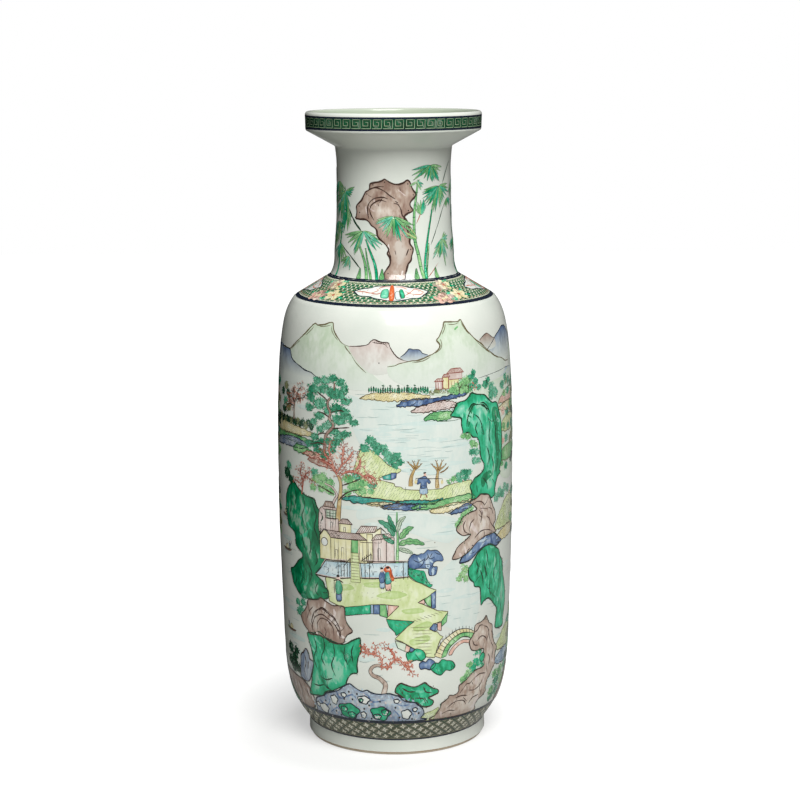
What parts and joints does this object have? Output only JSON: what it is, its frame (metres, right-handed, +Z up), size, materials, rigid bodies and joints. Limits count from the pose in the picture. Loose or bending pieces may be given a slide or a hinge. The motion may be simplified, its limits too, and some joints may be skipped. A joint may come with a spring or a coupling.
{
  "type": "rouleau vase",
  "caption": "Tall cylindrical porcelain vase with a sloping shoulder, a straight neck and a dish-shaped mouth, luted from thrown sections, glazed and enamelled.",
  "frame": {"origin": "middle of the foot rim's resting plane", "axes": "+Z up along the vase's axis of revolution, -Y towards the side that the picture shows"},
  "size_m": [0.169, 0.169, 0.452],
  "materials": {
    "porcelain_biscuit": "matt unglazed porcelain",
    "luting_slip": "matt fired slip",
    "clear_glaze": "glossy, faintly blue-green",
    "trellis_enamel": "glossy enamel",
    "fret_enamel": "glossy enamel"
  },
  "bodies": {
    "root": {"base_section": "porcelain_biscuit", "lower_body_section": "porcelain_biscuit", "upper_body_section": "porcelain_biscuit", "shoulder_section": "porcelain_biscuit", "neck_section": "porcelain_biscuit", "mouth_section": "porcelain_biscuit", "base_luting_seam": "luting_slip", "waist_luting_seam": "luting_slip", "shoulder_luting_seam": "luting_slip", "neck_luting_seam": "luting_slip", "mouth_luting_seam": "luting_slip", "glaze_coat": "clear_glaze", "base_glaze": "clear_glaze", "foot_enamel_band": "trellis_enamel", "shoulder_enamel_band": "trellis_enamel", "lip_enamel_band": "fret_enamel"}
  },
  "joints": []
}
